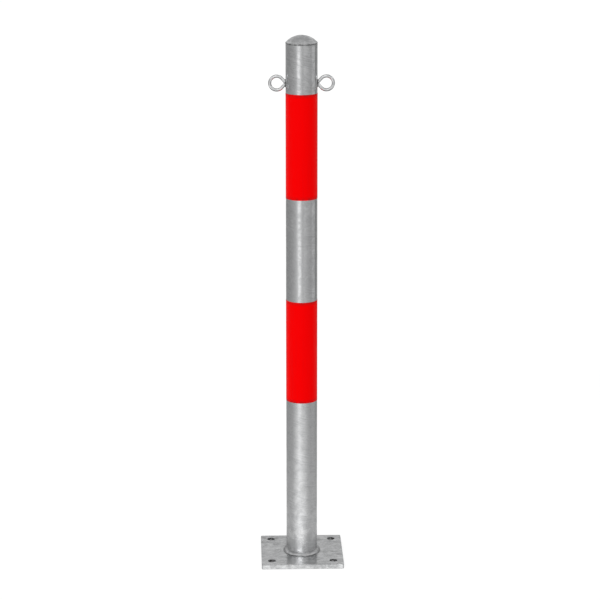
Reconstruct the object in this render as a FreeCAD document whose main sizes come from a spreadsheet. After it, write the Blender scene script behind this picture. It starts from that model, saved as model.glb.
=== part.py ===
"""Barrier post: a galvanised steel tube on a square foot plate, with a domed cap, two chain eyes and two red bands.

Millimetres, +Z up. The origin is the middle of the plate's underside, and the chain eyes point along -X and +X.
"""

import FreeCAD, Part
import math
import os
import Sketcher

# Driving dimensions in millimetres, each with what it measures
SIZES = {
    "tube_diameter": ("60", "outside of the round tube"),
    "tube_wall": ("2.5", "wall of the tube"),
    "tube_length": ("1002.5", "tube, from the plate to the cap"),
    "tube_end_break": ("0.6", "chamfer on the tube's upper outside edge"),
    "plate_width": ("160", "plate, from side to side"),
    "plate_depth": ("160", "plate, from front to back"),
    "plate_thickness": ("10", "thickness of the plate"),
    "plate_corner_radius": ("3", "rounding of the plate's corners, seen from above"),
    "plate_edge_round": ("0.8", "rounding of the plate's upper and lower edges"),
    "bolt_spacing_across": ("120", "hole to hole, from side to side"),
    "bolt_spacing_deep": ("120", "hole to hole, from front to back"),
    "bolt_hole_diameter": ("15", "hole for an anchor bolt of 12"),
    "vent_diameter": ("30", "hole under the tube that lets zinc run in and out"),
    "foot_weld_leg": ("6.5", "height and width of the weld round the foot"),
    "foot_weld_crown": ("0.9", "bulge of that weld over a straight slope"),
    "cap_overhang": ("0.3", "rim of the cap past the tube, all round"),
    "cap_rim_height": ("2", "straight rim of the cap"),
    "cap_rim_break": ("0.9", "chamfer under the rim, which makes the dark seam"),
    "cap_dome_height": ("13.8", "dome above the rim"),
    "cap_shoulder_radius": ("1.5", "rounding between the rim and the dome"),
    "cap_wall": ("2.5", "thickness of the dome and of the spigot"),
    "cap_spigot_length": ("18", "spigot that is driven into the tube"),
    "cap_spigot_lead": ("1", "chamfer at the spigot's lower end"),
    "cap_spigot_clearance": ("0.1", "between the spigot and the tube, all round"),
    "eye_bar_diameter": ("6", "round bar of the chain eyes"),
    "eye_inside_diameter": ("20", "round opening of an eye"),
    "eye_reach": ("16.7", "from the tube's surface to the middle of an eye"),
    "eye_root_depth": ("0.8", "where the bar's legs would meet, below the tube's surface"),
    "eye_below_top": ("74.1", "middle of the eyes, down from the tube's upper end"),
    "eye_weld_reach": ("2.4", "weld at an eye's root, out from the tube"),
    "eye_weld_half_width": ("4.8", "the same weld, round the tube"),
    "eye_weld_half_height": ("7.5", "the same weld, up and down"),
    "film_thickness": ("0.25", "red reflective film"),
    "film_lap": ("12", "end of a film over its start, at the back"),
    "band_height": ("200.5", "height of a red band"),
    "band_gap": ("198.3", "bare tube between the bands"),
    "band_below_top": ("92.5", "upper band's top edge, down from the tube's upper end"),
}

# Formulas that several pieces share
TUBE_RADIUS = "tube_diameter / 2"
TUBE_BORE_RADIUS = "( tube_diameter / 2 - tube_wall )"
TUBE_TOP = "( plate_thickness + tube_length )"
EYE_MIDDLE = "( tube_diameter / 2 + eye_reach )"
EYE_BEND_RADIUS = "( eye_inside_diameter + eye_bar_diameter ) / 2"

# Bearings about the post's axis, in degrees from +X
RIGHT = 0
BACK = 90
LEFT = 180
HALF_TURN = 180

UP = FreeCAD.Vector(0, 0, 1)
START, END, CENTRE = range(1, 4)
FIRST_AXIS, SECOND_AXIS = range(-1, -3, -1)

doc = FreeCAD.newDocument("barrier_post")


# Helpers


def make_sheet():
    """Put each driving dimension in a cell of its own, under its alias."""
    sheet = doc.addObject("Spreadsheet::Sheet", "Sizes")
    for row, (alias, (number, note)) in enumerate(SIZES.items(), start=1):
        sheet.set(f"A{row}", alias)
        sheet.set(f"B{row}", number)
        sheet.set(f"C{row}", note)
        sheet.setAlias(f"B{row}", alias)
    doc.recompute()
    return sheet


sheet = make_sheet()


def value(formula):
    """Work out a formula of the sheet's aliases."""
    return float(sheet.evalExpression(formula))


def bind(feature, path, formula):
    """Bind a property to a formula of the sheet's aliases, whose words are set apart by blanks."""
    words = [f"Sizes.{word}" if word in SIZES else word for word in formula.split()]
    feature.setExpression(path, " ".join(words))


def new_body(label):
    """Start a sub-part, whose label also names its file."""
    body = doc.addObject("PartDesign::Body", label)
    body.Label = label
    return body


def of_origin(body, role):
    """Find one of a body's own origin planes or axes by its role."""
    return next(feature for feature in body.Origin.OriginFeatures if feature.Role == role)


def new_sketch(body, name, plane):
    """Start a sketch on one of the body's origin planes."""
    sketch = body.newObject("Sketcher::SketchObject", name)
    sketch.AttachmentSupport = [(of_origin(body, plane), "")]
    sketch.MapMode = "FlatFace"
    return sketch


def dimension(sketch, kind, places, name, formula):
    """Add a named driving dimension to a sketch and bind it to a formula."""
    index = sketch.addConstraint(Sketcher.Constraint(kind, *places, value(formula)))
    sketch.renameConstraint(index, name)
    bind(sketch, f"Constraints.{name}", formula)


def place_point(sketch, edge, end, name, across, along):
    """Hold a point of a sketch at two formulas, or on an axis where a formula is a plain 0."""
    for axis, kind, formula in ((SECOND_AXIS, "DistanceX", across), (FIRST_AXIS, "DistanceY", along)):
        if formula == "0":
            sketch.addConstraint(Sketcher.Constraint("PointOnObject", edge, end, axis))
        else:
            dimension(sketch, kind, (FIRST_AXIS, START, edge, end), f"{name}_{kind[-1].lower()}", formula)


def draw_circle(sketch, name, diameter, across="0", along="0"):
    """Draw a circle of a diameter, about the origin unless a place is given."""
    middle = FreeCAD.Vector(value(across), value(along), 0)
    edge = sketch.addGeometry(Part.Circle(middle, UP, value(diameter) / 2))
    dimension(sketch, "Diameter", (edge,), f"{name}_diameter", diameter)
    if across == along == "0":
        sketch.addConstraint(Sketcher.Constraint("Coincident", edge, CENTRE, FIRST_AXIS, START))
    else:
        place_point(sketch, edge, CENTRE, name, across, along)


def arc_through(start, end, radius):
    """Draw the short arc of a radius from one point to another, bulging to the right of that way."""
    chord = end - start
    half = chord.Length / 2
    sagitta = radius - math.sqrt(radius**2 - half**2)
    outwards = FreeCAD.Vector(chord.y, -chord.x, 0).normalize()
    return Part.Arc(start, (start + end) / 2 + outwards * sagitta, end)


def draw_outline(sketch, corners):
    """Draw a closed outline of named corners, each a place and the radius of the arc to the next one, if it has one."""
    points = [FreeCAD.Vector(value(across), value(along), 0) for _, across, along, _ in corners]
    ends = []
    for (name, across, along, radius), here, there in zip(corners, points, points[1:] + points[:1]):
        shape = arc_through(here, there, value(radius)) if radius else Part.LineSegment(here, there)
        edge = sketch.addGeometry(shape)
        first = START if sketch.getPoint(edge, START).isEqual(here, 1e-6) else END
        ends.append((edge, first, START + END - first))
        place_point(sketch, edge, first, name, across, along)
        if radius:
            dimension(sketch, "Radius", (edge,), f"{name}_radius", radius)
    for (edge, _, last), (after, first, _) in zip(ends, ends[1:] + ends[:1]):
        sketch.addConstraint(Sketcher.Constraint("Coincident", edge, last, after, first))


def turn(body, kind, name, sketch):
    """Turn a sketch on the XZ plane about the post's axis, to add or to take away."""
    turned = body.newObject(kind, name)
    turned.Profile = sketch
    turned.ReferenceAxis = (sketch, ["V_Axis"])
    turned.Angle = 360
    doc.recompute()
    return turned


def circles_at(feature, radius, height):
    """Name the round edges of a feature that have this radius and lie at this height."""
    return [
        f"Edge{number}"
        for number, edge in enumerate(feature.Shape.Edges, start=1)
        if not edge.Degenerated
        and isinstance(edge.Curve, Part.Circle)
        and abs(edge.Curve.Radius - radius) < 1e-4
        and abs(edge.Curve.Center.z - height) < 1e-4
    ]


def dress_edges(body, kind, name, base, edges, property_name, formula):
    """Round or break edges of the body's last feature."""
    dressed = body.newObject(kind, name)
    dressed.Base = (base, edges)
    bind(dressed, property_name, formula)
    return dressed


def cylinder(name, radius, height):
    """Make a plain upright cylinder that a boolean works with."""
    solid = doc.addObject("Part::Cylinder", name)
    bind(solid, "Radius", radius)
    bind(solid, "Height", height)
    return solid


def boolean(kind, name, base, tool):
    """Join or cut two solids."""
    result = doc.addObject(kind, name)
    result.Base = base
    result.Tool = tool
    result.Refine = True
    return result


# Tube


def make_tube():
    """Round tube that stands on the plate, its upper outside edge broken."""
    body = new_body("post_tube")
    section = new_sketch(body, "tube_section", "XY_Plane")
    draw_circle(section, "outside", "tube_diameter")
    draw_circle(section, "bore", "tube_diameter - 2 * tube_wall")
    pad = body.newObject("PartDesign::Pad", "tube_run")
    pad.Profile = section
    bind(pad, "Length", "tube_length")
    doc.recompute()
    rim = circles_at(pad, value(TUBE_RADIUS), value("tube_length"))
    dress_edges(body, "PartDesign::Chamfer", "tube_end", pad, rim, "Size", "tube_end_break")
    bind(body, "Placement.Base.z", "plate_thickness")
    return body


# Foot plate


def make_plate():
    """Rectangular plate with rounded corners, four bolt holes and a zinc vent under the tube."""
    body = new_body("base_plate")
    outline = new_sketch(body, "plate_outline", "XY_Plane")
    side = "plate_width / 2"
    back = "plate_depth / 2"
    draw_outline(
        outline,
        [
            ("front_left", f"-1 * {side}", f"-1 * {back}", None),
            ("front_right", side, f"-1 * {back}", None),
            ("back_right", side, back, None),
            ("back_left", f"-1 * {side}", back, None),
        ],
    )
    pad = body.newObject("PartDesign::Pad", "plate_blank")
    pad.Profile = outline
    bind(pad, "Length", "plate_thickness")
    doc.recompute()

    corners = [
        f"Edge{number}"
        for number, edge in enumerate(pad.Shape.Edges, start=1)
        if abs(edge.tangentAt(edge.FirstParameter).z) > 0.99
    ]
    rounded = dress_edges(
        body, "PartDesign::Fillet", "plate_corners", pad, corners, "Radius", "plate_corner_radius"
    )
    doc.recompute()

    rims = [
        f"Edge{number}"
        for number, edge in enumerate(rounded.Shape.Edges, start=1)
        if abs(edge.tangentAt(edge.FirstParameter).z) < 0.01
    ]
    dress_edges(body, "PartDesign::Fillet", "plate_edges", rounded, rims, "Radius", "plate_edge_round")

    bolt_place = new_sketch(body, "bolt_place", "XY_Plane")
    corner = ("-1 * bolt_spacing_across / 2", "-1 * bolt_spacing_deep / 2")
    draw_circle(bolt_place, "bolt", "bolt_hole_diameter", *corner)
    bolt_hole = body.newObject("PartDesign::Pocket", "bolt_hole")
    bolt_hole.Profile = bolt_place
    bolt_hole.Type = "ThroughAll"
    bolt_hole.Reversed = True
    doc.recompute()

    bolt_holes = body.newObject("PartDesign::LinearPattern", "bolt_holes")
    bolt_holes.Originals = [bolt_hole]
    bolt_holes.Direction = (of_origin(body, "X_Axis"), [""])
    bolt_holes.Direction2 = (of_origin(body, "Y_Axis"), [""])
    bind(bolt_holes, "Length", "bolt_spacing_across")
    bind(bolt_holes, "Length2", "bolt_spacing_deep")
    bolt_holes.Occurrences = 2
    bolt_holes.Occurrences2 = 2
    body.Tip = bolt_holes
    doc.recompute()

    vent_place = new_sketch(body, "vent_place", "XY_Plane")
    draw_circle(vent_place, "vent", "vent_diameter")
    vent = body.newObject("PartDesign::Pocket", "vent")
    vent.Profile = vent_place
    vent.Type = "ThroughAll"
    vent.Reversed = True
    return body


def make_foot_weld():
    """Convex fillet weld all round the foot of the tube."""
    body = new_body("base_weld")
    section = new_sketch(body, "weld_section", "XZ_Plane")
    toe = f"{TUBE_RADIUS} + foot_weld_leg"
    crown_radius = "( foot_weld_leg ^ 2 / 2 + foot_weld_crown ^ 2 ) / ( 2 * foot_weld_crown )"
    draw_outline(
        section,
        [
            ("root", TUBE_RADIUS, "0", None),
            ("plate_toe", toe, "0", crown_radius),
            ("tube_toe", TUBE_RADIUS, "foot_weld_leg", None),
        ],
    )
    turn(body, "PartDesign::Revolution", "weld_run", section)
    bind(body, "Placement.Base.z", "plate_thickness")
    return body


# Cap


def make_cap():
    """Hollow domed cap: a rim that rests on the tube's end and a spigot inside the tube."""
    body = new_body("top_cap")
    rim_radius = f"( {TUBE_RADIUS} + cap_overhang )"
    dome_radius = f"( {rim_radius} ^ 2 + cap_dome_height ^ 2 ) / ( 2 * cap_dome_height )"
    crown = "( cap_rim_height + cap_dome_height )"
    spigot_radius = f"( {TUBE_BORE_RADIUS} - cap_spigot_clearance )"
    spigot_end = "-1 * cap_spigot_length"
    section = new_sketch(body, "cap_section", "XZ_Plane")
    draw_outline(
        section,
        [
            ("end_middle", "0", spigot_end, None),
            ("end_edge", f"{spigot_radius} - cap_spigot_lead", spigot_end, None),
            ("lead_edge", spigot_radius, "cap_spigot_lead - cap_spigot_length", None),
            ("seat_inside", spigot_radius, "0", None),
            ("seat_outside", f"{rim_radius} - cap_rim_break", "0", None),
            ("rim_foot", rim_radius, "cap_rim_break", None),
            ("rim_top", rim_radius, "cap_rim_height", dome_radius),
            ("crown", "0", crown, None),
        ],
    )
    turn(body, "PartDesign::Revolution", "cap_form", section)

    hollow_radius = f"( {spigot_radius} - cap_wall )"
    ceiling_radius = f"( {dome_radius} - cap_wall )"
    ceiling_edge = f"{crown} - {dome_radius} + sqrt( {ceiling_radius} ^ 2 - {hollow_radius} ^ 2 )"
    hollow = new_sketch(body, "cap_hollow_section", "XZ_Plane")
    draw_outline(
        hollow,
        [
            ("mouth_middle", "0", spigot_end, None),
            ("mouth_edge", hollow_radius, spigot_end, None),
            ("ceiling_edge", hollow_radius, ceiling_edge, ceiling_radius),
            ("ceiling", "0", f"{crown} - cap_wall", None),
        ],
    )
    hollowed = turn(body, "PartDesign::Groove", "cap_hollow", hollow)
    shoulder = circles_at(hollowed, value(rim_radius), value("cap_rim_height"))
    dress_edges(
        body, "PartDesign::Fillet", "cap_shoulder", hollowed, shoulder, "Radius", "cap_shoulder_radius"
    )
    bind(body, "Placement.Base.z", TUBE_TOP)
    return body


# Chain eyes


def draw_eye_path(sketch):
    """Draw the upper half of an eye's centre line: a bend from its far side, then a straight leg to the tube."""
    bend = value(EYE_BEND_RADIUS)
    middle = FreeCAD.Vector(value(EYE_MIDDLE), 0, 0)
    half_angle = math.asin(bend / (value("eye_reach") + value("eye_root_depth")))
    sweep = math.pi / 2 + half_angle
    arc = sketch.addGeometry(Part.ArcOfCircle(Part.Circle(middle, UP, bend), 0, sweep))
    leg_start = middle + FreeCAD.Vector(bend * math.cos(sweep), bend * math.sin(sweep), 0)
    leg_end = FreeCAD.Vector(value(f"{TUBE_RADIUS} - eye_root_depth"), 0, 0)
    leg = sketch.addGeometry(Part.LineSegment(leg_start, leg_end))
    sketch.addConstraint(Sketcher.Constraint("PointOnObject", arc, START, FIRST_AXIS))
    place_point(sketch, arc, CENTRE, "middle", EYE_MIDDLE, "0")
    dimension(sketch, "Radius", (arc,), "bend_radius", EYE_BEND_RADIUS)
    sketch.addConstraint(Sketcher.Constraint("Tangent", arc, END, leg, START))
    place_point(sketch, leg, END, "root", f"{TUBE_RADIUS} - eye_root_depth", "0")


def make_eye(label, bearing):
    """Teardrop loop of round bar, its two legs mitred together and coped to the tube."""
    body = new_body(label)
    path = new_sketch(body, f"{label}_path", "XZ_Plane")
    draw_eye_path(path)
    bar = new_sketch(body, f"{label}_bar", "XY_Plane")
    draw_circle(bar, "bar", "eye_bar_diameter", f"{EYE_MIDDLE} + {EYE_BEND_RADIUS}", "0")
    half = body.newObject("PartDesign::AdditivePipe", f"{label}_upper_half")
    half.Profile = bar
    half.Spine = path
    doc.recompute()

    whole = body.newObject("PartDesign::Mirrored", f"{label}_whole")
    whole.Originals = [half]
    whole.MirrorPlane = (of_origin(body, "XY_Plane"), [""])
    body.Tip = whole
    doc.recompute()

    tube_outline = new_sketch(body, f"{label}_tube", "XY_Plane")
    draw_circle(tube_outline, "tube", "tube_diameter")
    cope = body.newObject("PartDesign::Pocket", f"{label}_cope")
    cope.Profile = tube_outline
    cope.SideType = "Symmetric"
    bind(cope, "Length", "2 * ( eye_inside_diameter + 2 * eye_bar_diameter )")
    bind(body, "Placement.Base.z", f"{TUBE_TOP} - eye_below_top")
    body.Placement.Rotation = FreeCAD.Rotation(UP, bearing)
    return body


def make_eye_weld(label, eye, bearing):
    """Weld round an eye's root, moulded to the tube and to the bar, its own seam turned to the tube's inside."""
    lump = doc.addObject("Part::Ellipsoid", f"{label}_lump")
    bind(lump, "Radius1", "eye_weld_half_height")
    bind(lump, "Radius2", "eye_weld_reach")
    bind(lump, "Radius3", "eye_weld_half_width")
    lump.Angle1 = -90
    lump.Angle2 = 90
    lump.Angle3 = 360
    side = round(math.cos(math.radians(bearing)))
    bind(lump, "Placement.Base.x", f"{side} * {TUBE_RADIUS}")
    lump.Placement.Rotation = FreeCAD.Rotation(UP, bearing + HALF_TURN)
    bind(lump, "Placement.Base.z", f"{TUBE_TOP} - eye_below_top")
    tube_space = cylinder(f"{label}_tube", TUBE_RADIUS, TUBE_TOP)
    outside = boolean("Part::Cut", f"{label}_outside", lump, tube_space)
    weld = boolean("Part::Cut", label, outside, eye)
    weld.Label = label
    return weld


# Red bands


def make_band(label, foot):
    """Film wrapped round the tube, with its end lapped over its start at the back."""
    skin = cylinder(f"{label}_skin", f"{TUBE_RADIUS} + film_thickness", "band_height")
    flap = cylinder(f"{label}_flap", f"{TUBE_RADIUS} + 2 * film_thickness", "band_height")
    bind(flap, "Angle", "360 * film_lap / ( pi * tube_diameter )")
    flap.Placement.Rotation = FreeCAD.Rotation(UP, BACK)
    wrapped = boolean("Part::Fuse", f"{label}_wrapped", skin, flap)
    tube_space = cylinder(f"{label}_tube", TUBE_RADIUS, "band_height")
    band = boolean("Part::Cut", label, wrapped, tube_space)
    band.Label = label
    bind(band, "Placement.Base.z", foot)
    return band


# Build, check and write


def make_post():
    """Make every sub-part of the post."""
    left_eye = make_eye("left_chain_eye", LEFT)
    right_eye = make_eye("right_chain_eye", RIGHT)
    upper_foot = f"{TUBE_TOP} - band_below_top - band_height"
    return [
        make_plate(),
        make_tube(),
        make_foot_weld(),
        make_cap(),
        left_eye,
        right_eye,
        make_eye_weld("left_eye_weld", left_eye, LEFT),
        make_eye_weld("right_eye_weld", right_eye, RIGHT),
        make_band("upper_red_band", upper_foot),
        make_band("lower_red_band", f"{upper_foot} - band_gap - band_height"),
    ]


def check(parts):
    """Stop if a feature failed, if a cut took nothing away, or if a sub-part isn't one sound solid."""
    for item in doc.Objects:
        if {"Invalid", "Error"} & set(item.State):
            raise RuntimeError(f"{item.Name} failed")
        if item.TypeId in ("PartDesign::Pocket", "PartDesign::Groove"):
            if item.Shape.Volume > item.BaseFeature.Shape.Volume - 1:
                raise RuntimeError(f"{item.Name} cut nothing")
    for part in parts:
        if part.Shape.isNull() or not part.Shape.isValid() or len(part.Shape.Solids) != 1:
            raise RuntimeError(f"{part.Label} isn't one sound solid")


post = make_post()
doc.recompute()
check(post)
os.makedirs("parts", exist_ok=True)
for piece in post:
    piece.Shape.exportStep(f"parts/{piece.Label}.step")
    print(f"{piece.Label}: {piece.Shape.Volume:.1f} mm3, faces {len(piece.Shape.Faces)}")
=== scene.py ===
"""Looks of a galvanised barrier post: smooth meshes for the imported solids, finishes, studio and camera."""

import logging
import math
from dataclasses import dataclass
from enum import Enum
from functools import partial, reduce
from typing import Callable, Iterable, Optional, Sequence, Union

import bmesh
import bpy
from mathutils import Matrix, Vector, noise
from mathutils.geometry import delaunay_2d_cdt


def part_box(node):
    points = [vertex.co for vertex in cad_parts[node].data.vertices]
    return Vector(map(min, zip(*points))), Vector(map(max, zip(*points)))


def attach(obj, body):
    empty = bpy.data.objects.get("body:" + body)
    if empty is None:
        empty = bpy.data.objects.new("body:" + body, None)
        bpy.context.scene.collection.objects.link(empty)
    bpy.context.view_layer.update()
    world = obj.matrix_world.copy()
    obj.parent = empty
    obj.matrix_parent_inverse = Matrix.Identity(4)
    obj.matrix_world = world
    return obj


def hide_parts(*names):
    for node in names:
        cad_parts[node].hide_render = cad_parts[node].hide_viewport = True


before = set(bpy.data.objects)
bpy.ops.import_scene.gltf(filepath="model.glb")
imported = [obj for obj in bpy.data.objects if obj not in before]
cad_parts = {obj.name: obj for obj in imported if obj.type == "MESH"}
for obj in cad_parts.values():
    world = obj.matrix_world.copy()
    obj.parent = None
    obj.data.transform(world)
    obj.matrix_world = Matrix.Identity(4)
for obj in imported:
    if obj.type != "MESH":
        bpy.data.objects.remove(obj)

LOG = logging.getLogger("barrier_post")
BODY = "root"

MM = 0.001
TURN = 2 * math.pi
UPRIGHT = 90.0
HAIR = 1e-6  # smaller differences are rounding

FLOAT, VECTOR = "NodeSocketFloat", "NodeSocketVector"
GEOMETRY, MATERIAL = "NodeSocketGeometry", "NodeSocketMaterial"
NUMBERS = {float: FLOAT, int: "NodeSocketInt"}
SHADER_TREE, GEOMETRY_TREE = "ShaderNodeTree", "GeometryNodeTree"
NOISE_RANGE = (0.3, 0.7)  # where most of a noise lies
BLUISH = 0.005  # how much more green than red, and blue than green, a grey has

WAVE_NOISE = (1.0, 2.0, 2)  # roughness, lacunarity and octaves
WAVE_SHARE = 0.8  # brings that noise to about -1 to 1
SEED_PLACE = (1.0, 2.7, -1.0)

# Places of a Mix node's sockets
SHARE, NUMBER_A, NUMBER_B, COLOUR_A, COLOUR_B, COLOUR_RESULT = 0, 2, 3, 6, 7, 2

# How a flat outline is filled: with triangles inside it, and points nearer than this made one
INSIDE, SAME_POINT = 1, 1e-7

Span = tuple[float, float]
Triple = tuple[float, float, float]
Socket = bpy.types.NodeSocket
Sockets = bpy.types.bpy_prop_collection
Given = Union[float, Sequence[float], Socket, bpy.types.ID]
Rule = Callable[[Vector], float]
Move = Callable[[Vector], Vector]


class Side(Enum):
    """Side of the post that a chain eye is on, with its bearing from +X."""

    LEFT = math.pi
    RIGHT = 0.0


class Level(Enum):
    """Which of the two red bands."""

    UPPER = "upper"
    LOWER = "lower"


class Effect(Enum):
    """Shader groups that several finishes share."""

    CLOUDS = "zinc_clouds"
    WIPING = "wiping_marks"
    GRAIN = "fine_grain"
    # Dirt and painted shade, where a mesh is marked for them
    SOIL = "soil_in_corners"


class Sweep(Enum):
    """Geometry trees that sweep a round bar along a drawn path, or a drawn section round a ring."""

    BAR = "bent_bar"
    RING = "foot_weld_bead"


# Node trees


class Graph:
    """Adds nodes to one tree and joins them."""

    def __init__(self, tree: bpy.types.NodeTree) -> None:
        """Keep the tree that the nodes go into."""
        self.tree = tree

    def add(self, kind: str, given: Optional[dict] = None, **settings: object) -> bpy.types.Node:
        """Add a node.

        Args:
            kind: Blender's name for the type of node.
            given: Input names or numbers, each with a constant or with the output that feeds it.
            settings: Properties of the node.

        Returns:
            The new node.
        """
        node = self.tree.nodes.new(kind)
        for name, setting in settings.items():
            setattr(node, name, setting)
        for name, value in (given or {}).items():
            if isinstance(value, Socket):
                self.tree.links.new(value, node.inputs[name])
            else:
                node.inputs[name].default_value = value
        return node

    def out(self, kind: str, given: dict, **settings: object) -> Socket:
        """Add a node and give its first output."""
        return self.add(kind, given, **settings).outputs[0]

    def math(self, operation: str, *terms: Given, clamp: bool = False) -> Socket:
        """Work out one sum of constants and outputs, held between 0 and 1 where it is clamped."""
        return self.out("ShaderNodeMath", dict(enumerate(terms)), operation=operation, use_clamp=clamp)

    def vector(self, operation: str, given: dict) -> Socket:
        """Work out one sum of vectors."""
        return self.out("ShaderNodeVectorMath", given, operation=operation)

    def total(self, terms: Iterable[Given]) -> Given:
        """Add up constants and outputs."""
        return reduce(partial(self.math, "ADD"), terms)

    def spread(self, value: Given, source: Span, target: Span = (0.0, 1.0)) -> Socket:
        """Carry a range over to another one, smoothly and with its ends held."""
        ends = {"From Min": source[0], "From Max": source[1], "To Min": target[0], "To Max": target[1]}
        return self.out("ShaderNodeMapRange", {"Value": value, **ends}, interpolation_type="SMOOTHSTEP")

    def choose(self, share: Given, first: Given, second: Given) -> Socket:
        """Blend two numbers by the second one's share."""
        return self.out("ShaderNodeMix", {SHARE: share, NUMBER_A: first, NUMBER_B: second})

    def blend(self, share: Given, first: Given, second: Given) -> Socket:
        """Blend two colours by the second one's share."""
        given = {SHARE: share, COLOUR_A: opaque(first), COLOUR_B: opaque(second)}
        return self.add("ShaderNodeMix", given, data_type="RGBA").outputs[COLOUR_RESULT]

    def noise(self, vector: Given, scale: Given, detail: float = 3.0, distortion: float = 0.0) -> Socket:
        """Read cloudy noise about 0.5; its scale is in clouds in a metre."""
        given = {"Vector": vector, "Scale": scale, "Detail": detail, "Distortion": distortion}
        return self.out("ShaderNodeTexNoise", given)

    def bump(self, height: Socket, relief: float) -> Socket:
        """Make a height a normal, with a relief in millimetres."""
        return self.out("ShaderNodeBump", {"Height": height, "Distance": relief * MM, "Strength": 1.0})

    def give(self, kind: str, **outputs: Socket) -> bpy.types.NodeTree:
        """Close a group with its outputs.

        Args:
            kind: Socket type of the outputs.
            outputs: What feeds each of them, by name.

        Returns:
            The group.
        """
        for label in outputs:
            self.tree.interface.new_socket(label, in_out="OUTPUT", socket_type=kind)
        self.add("NodeGroupOutput", outputs)
        return self.tree


def opaque(colour: Given) -> Given:
    """Give a colour of three numbers its alpha, and pass anything else on."""
    return (*colour, 1.0) if isinstance(colour, tuple) and len(colour) == 3 else colour


def grey(level: float) -> Triple:
    """Faintly bluish grey of a level."""
    return level, level + BLUISH, level + 2 * BLUISH


def new_group(name: str, kind: str, inputs: dict[str, Union[str, float]]) -> tuple[Graph, dict[str, Socket]]:
    """Start a node group.

    Args:
        name: Name of the group.
        kind: Blender's name for its type of tree.
        inputs: Input names, each with its socket type, or with its default where it is a number.

    Returns:
        The group's graph, and its input sockets by name.
    """
    tree = bpy.data.node_groups.new(name, kind)
    for label, default in inputs.items():
        if isinstance(default, str):
            tree.interface.new_socket(label, in_out="INPUT", socket_type=default)
        else:
            socket = tree.interface.new_socket(label, in_out="INPUT", socket_type=NUMBERS[type(default)])
            socket.default_value = default
    graph = Graph(tree)
    entry = graph.add("NodeGroupInput")
    return graph, {label: entry.outputs[label] for label in inputs}


def zinc_clouds() -> bpy.types.NodeTree:
    """Make the clouding of a zinc skin: soft patches and blurred crystals.

    Returns:
        The group, with a tone and a height, both about 0.5.
    """
    crystal_bend, crystal_height = 4.0 * MM, 0.25
    inputs = {"Vector": VECTOR, "Patches": 60.0, "Crystals": 200.0, "Crystal Share": 0.3}
    graph, given = new_group(Effect.CLOUDS.value, SHADER_TREE, inputs)
    vector, scale = given["Vector"], given["Crystals"]
    patches = graph.noise(vector, given["Patches"], detail=5.0, distortion=0.7)
    bend = graph.add("ShaderNodeTexNoise", {"Vector": vector, "Scale": scale, "Detail": 2.0}).outputs["Color"]
    place = graph.vector("ADD", {0: vector, 1: graph.vector("SCALE", {0: bend, "Scale": crystal_bend})})
    cells = graph.add("ShaderNodeTexVoronoi", {"Vector": place, "Scale": scale}, feature="SMOOTH_F1")
    shade = graph.out("ShaderNodeSeparateColor", {0: cells.outputs["Color"]})
    tone = graph.choose(given["Crystal Share"], graph.spread(patches, NOISE_RANGE), shade)
    return graph.give(FLOAT, Tone=tone, Height=graph.math("MULTIPLY_ADD", shade, crystal_height, patches))


def wiping_marks() -> bpy.types.NodeTree:
    """Make long faint marks of wiping, slanted across a piece and there only in patches.

    Returns:
        The group, with a tone about 0.5.
    """
    patch_range, patch_share, mean = (0.4, 0.62), (0.15, 1.0), 0.5
    inputs = {"Vector": VECTOR, "Turn": VECTOR, "Length": 18.0, "Width": 240.0, "Patches": 16.0}
    graph, given = new_group(Effect.WIPING.value, SHADER_TREE, inputs)
    vector, length = given["Vector"], given["Length"]
    turned = graph.out("ShaderNodeVectorRotate", {"Vector": vector, "Rotation": given["Turn"]},
                       rotation_type="EULER_XYZ")
    stretch = graph.out("ShaderNodeCombineXYZ", {0: length, 1: length, 2: given["Width"]})
    streaks = graph.noise(graph.vector("MULTIPLY", {0: turned, 1: stretch}), 1.0)
    there = graph.spread(graph.noise(vector, given["Patches"], detail=2.0), patch_range, patch_share)
    mark = graph.math("MULTIPLY_ADD", graph.math("SUBTRACT", streaks, mean), there, mean)
    return graph.give(FLOAT, Tone=mark)


def fine_grain() -> bpy.types.NodeTree:
    """Make the fine grain of a surface, with a few dark pits.

    Returns:
        The group, with a height about 0.5 and a mask of the pits.
    """
    rare_range, pit_range = (0.86, 0.9), (0.05, 0.2)
    inputs = {"Vector": VECTOR, "Grains": 700.0, "Pits": 160.0}
    graph, given = new_group(Effect.GRAIN.value, SHADER_TREE, inputs)
    height = graph.noise(given["Vector"], given["Grains"])
    spots = graph.add("ShaderNodeTexVoronoi", {"Vector": given["Vector"], "Scale": given["Pits"]}).outputs
    chance = graph.add("ShaderNodeSeparateColor", {0: spots["Color"]}).outputs["Green"]
    pit = graph.spread(spots["Distance"], pit_range, (1.0, 0.0))
    rare = graph.spread(chance, rare_range)
    return graph.give(FLOAT, Height=height, Pits=graph.math("MULTIPLY", pit, rare))


def soil_in_corners() -> bpy.types.NodeTree:
    """Make a patchy mask of dirt and painted shade where a mesh is marked for it.

    Returns:
        The group, with a mask.
    """
    patch_share = (0.35, 1.35)
    # The Soil input carries the mesh's mark of dirt and painted shade
    inputs = {"Vector": VECTOR, "Soil": 0.0, "Patches": 180.0}
    graph, given = new_group(Effect.SOIL.value, SHADER_TREE, inputs)
    patches = graph.noise(given["Vector"], given["Patches"], detail=4.0)
    broken = graph.spread(patches, NOISE_RANGE, patch_share)
    return graph.give(FLOAT, Mask=graph.math("MULTIPLY", given["Soil"], broken, clamp=True))


MAKERS: dict[Effect, Callable[[], bpy.types.NodeTree]] = {
    Effect.CLOUDS: zinc_clouds,
    Effect.WIPING: wiping_marks,
    Effect.GRAIN: fine_grain,
    Effect.SOIL: soil_in_corners,
}


def effect_group(effect: Effect) -> bpy.types.NodeTree:
    """Find a shared shader group, or make it the first time it is asked for."""
    return bpy.data.node_groups.get(effect.value) or MAKERS[effect]()


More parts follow.
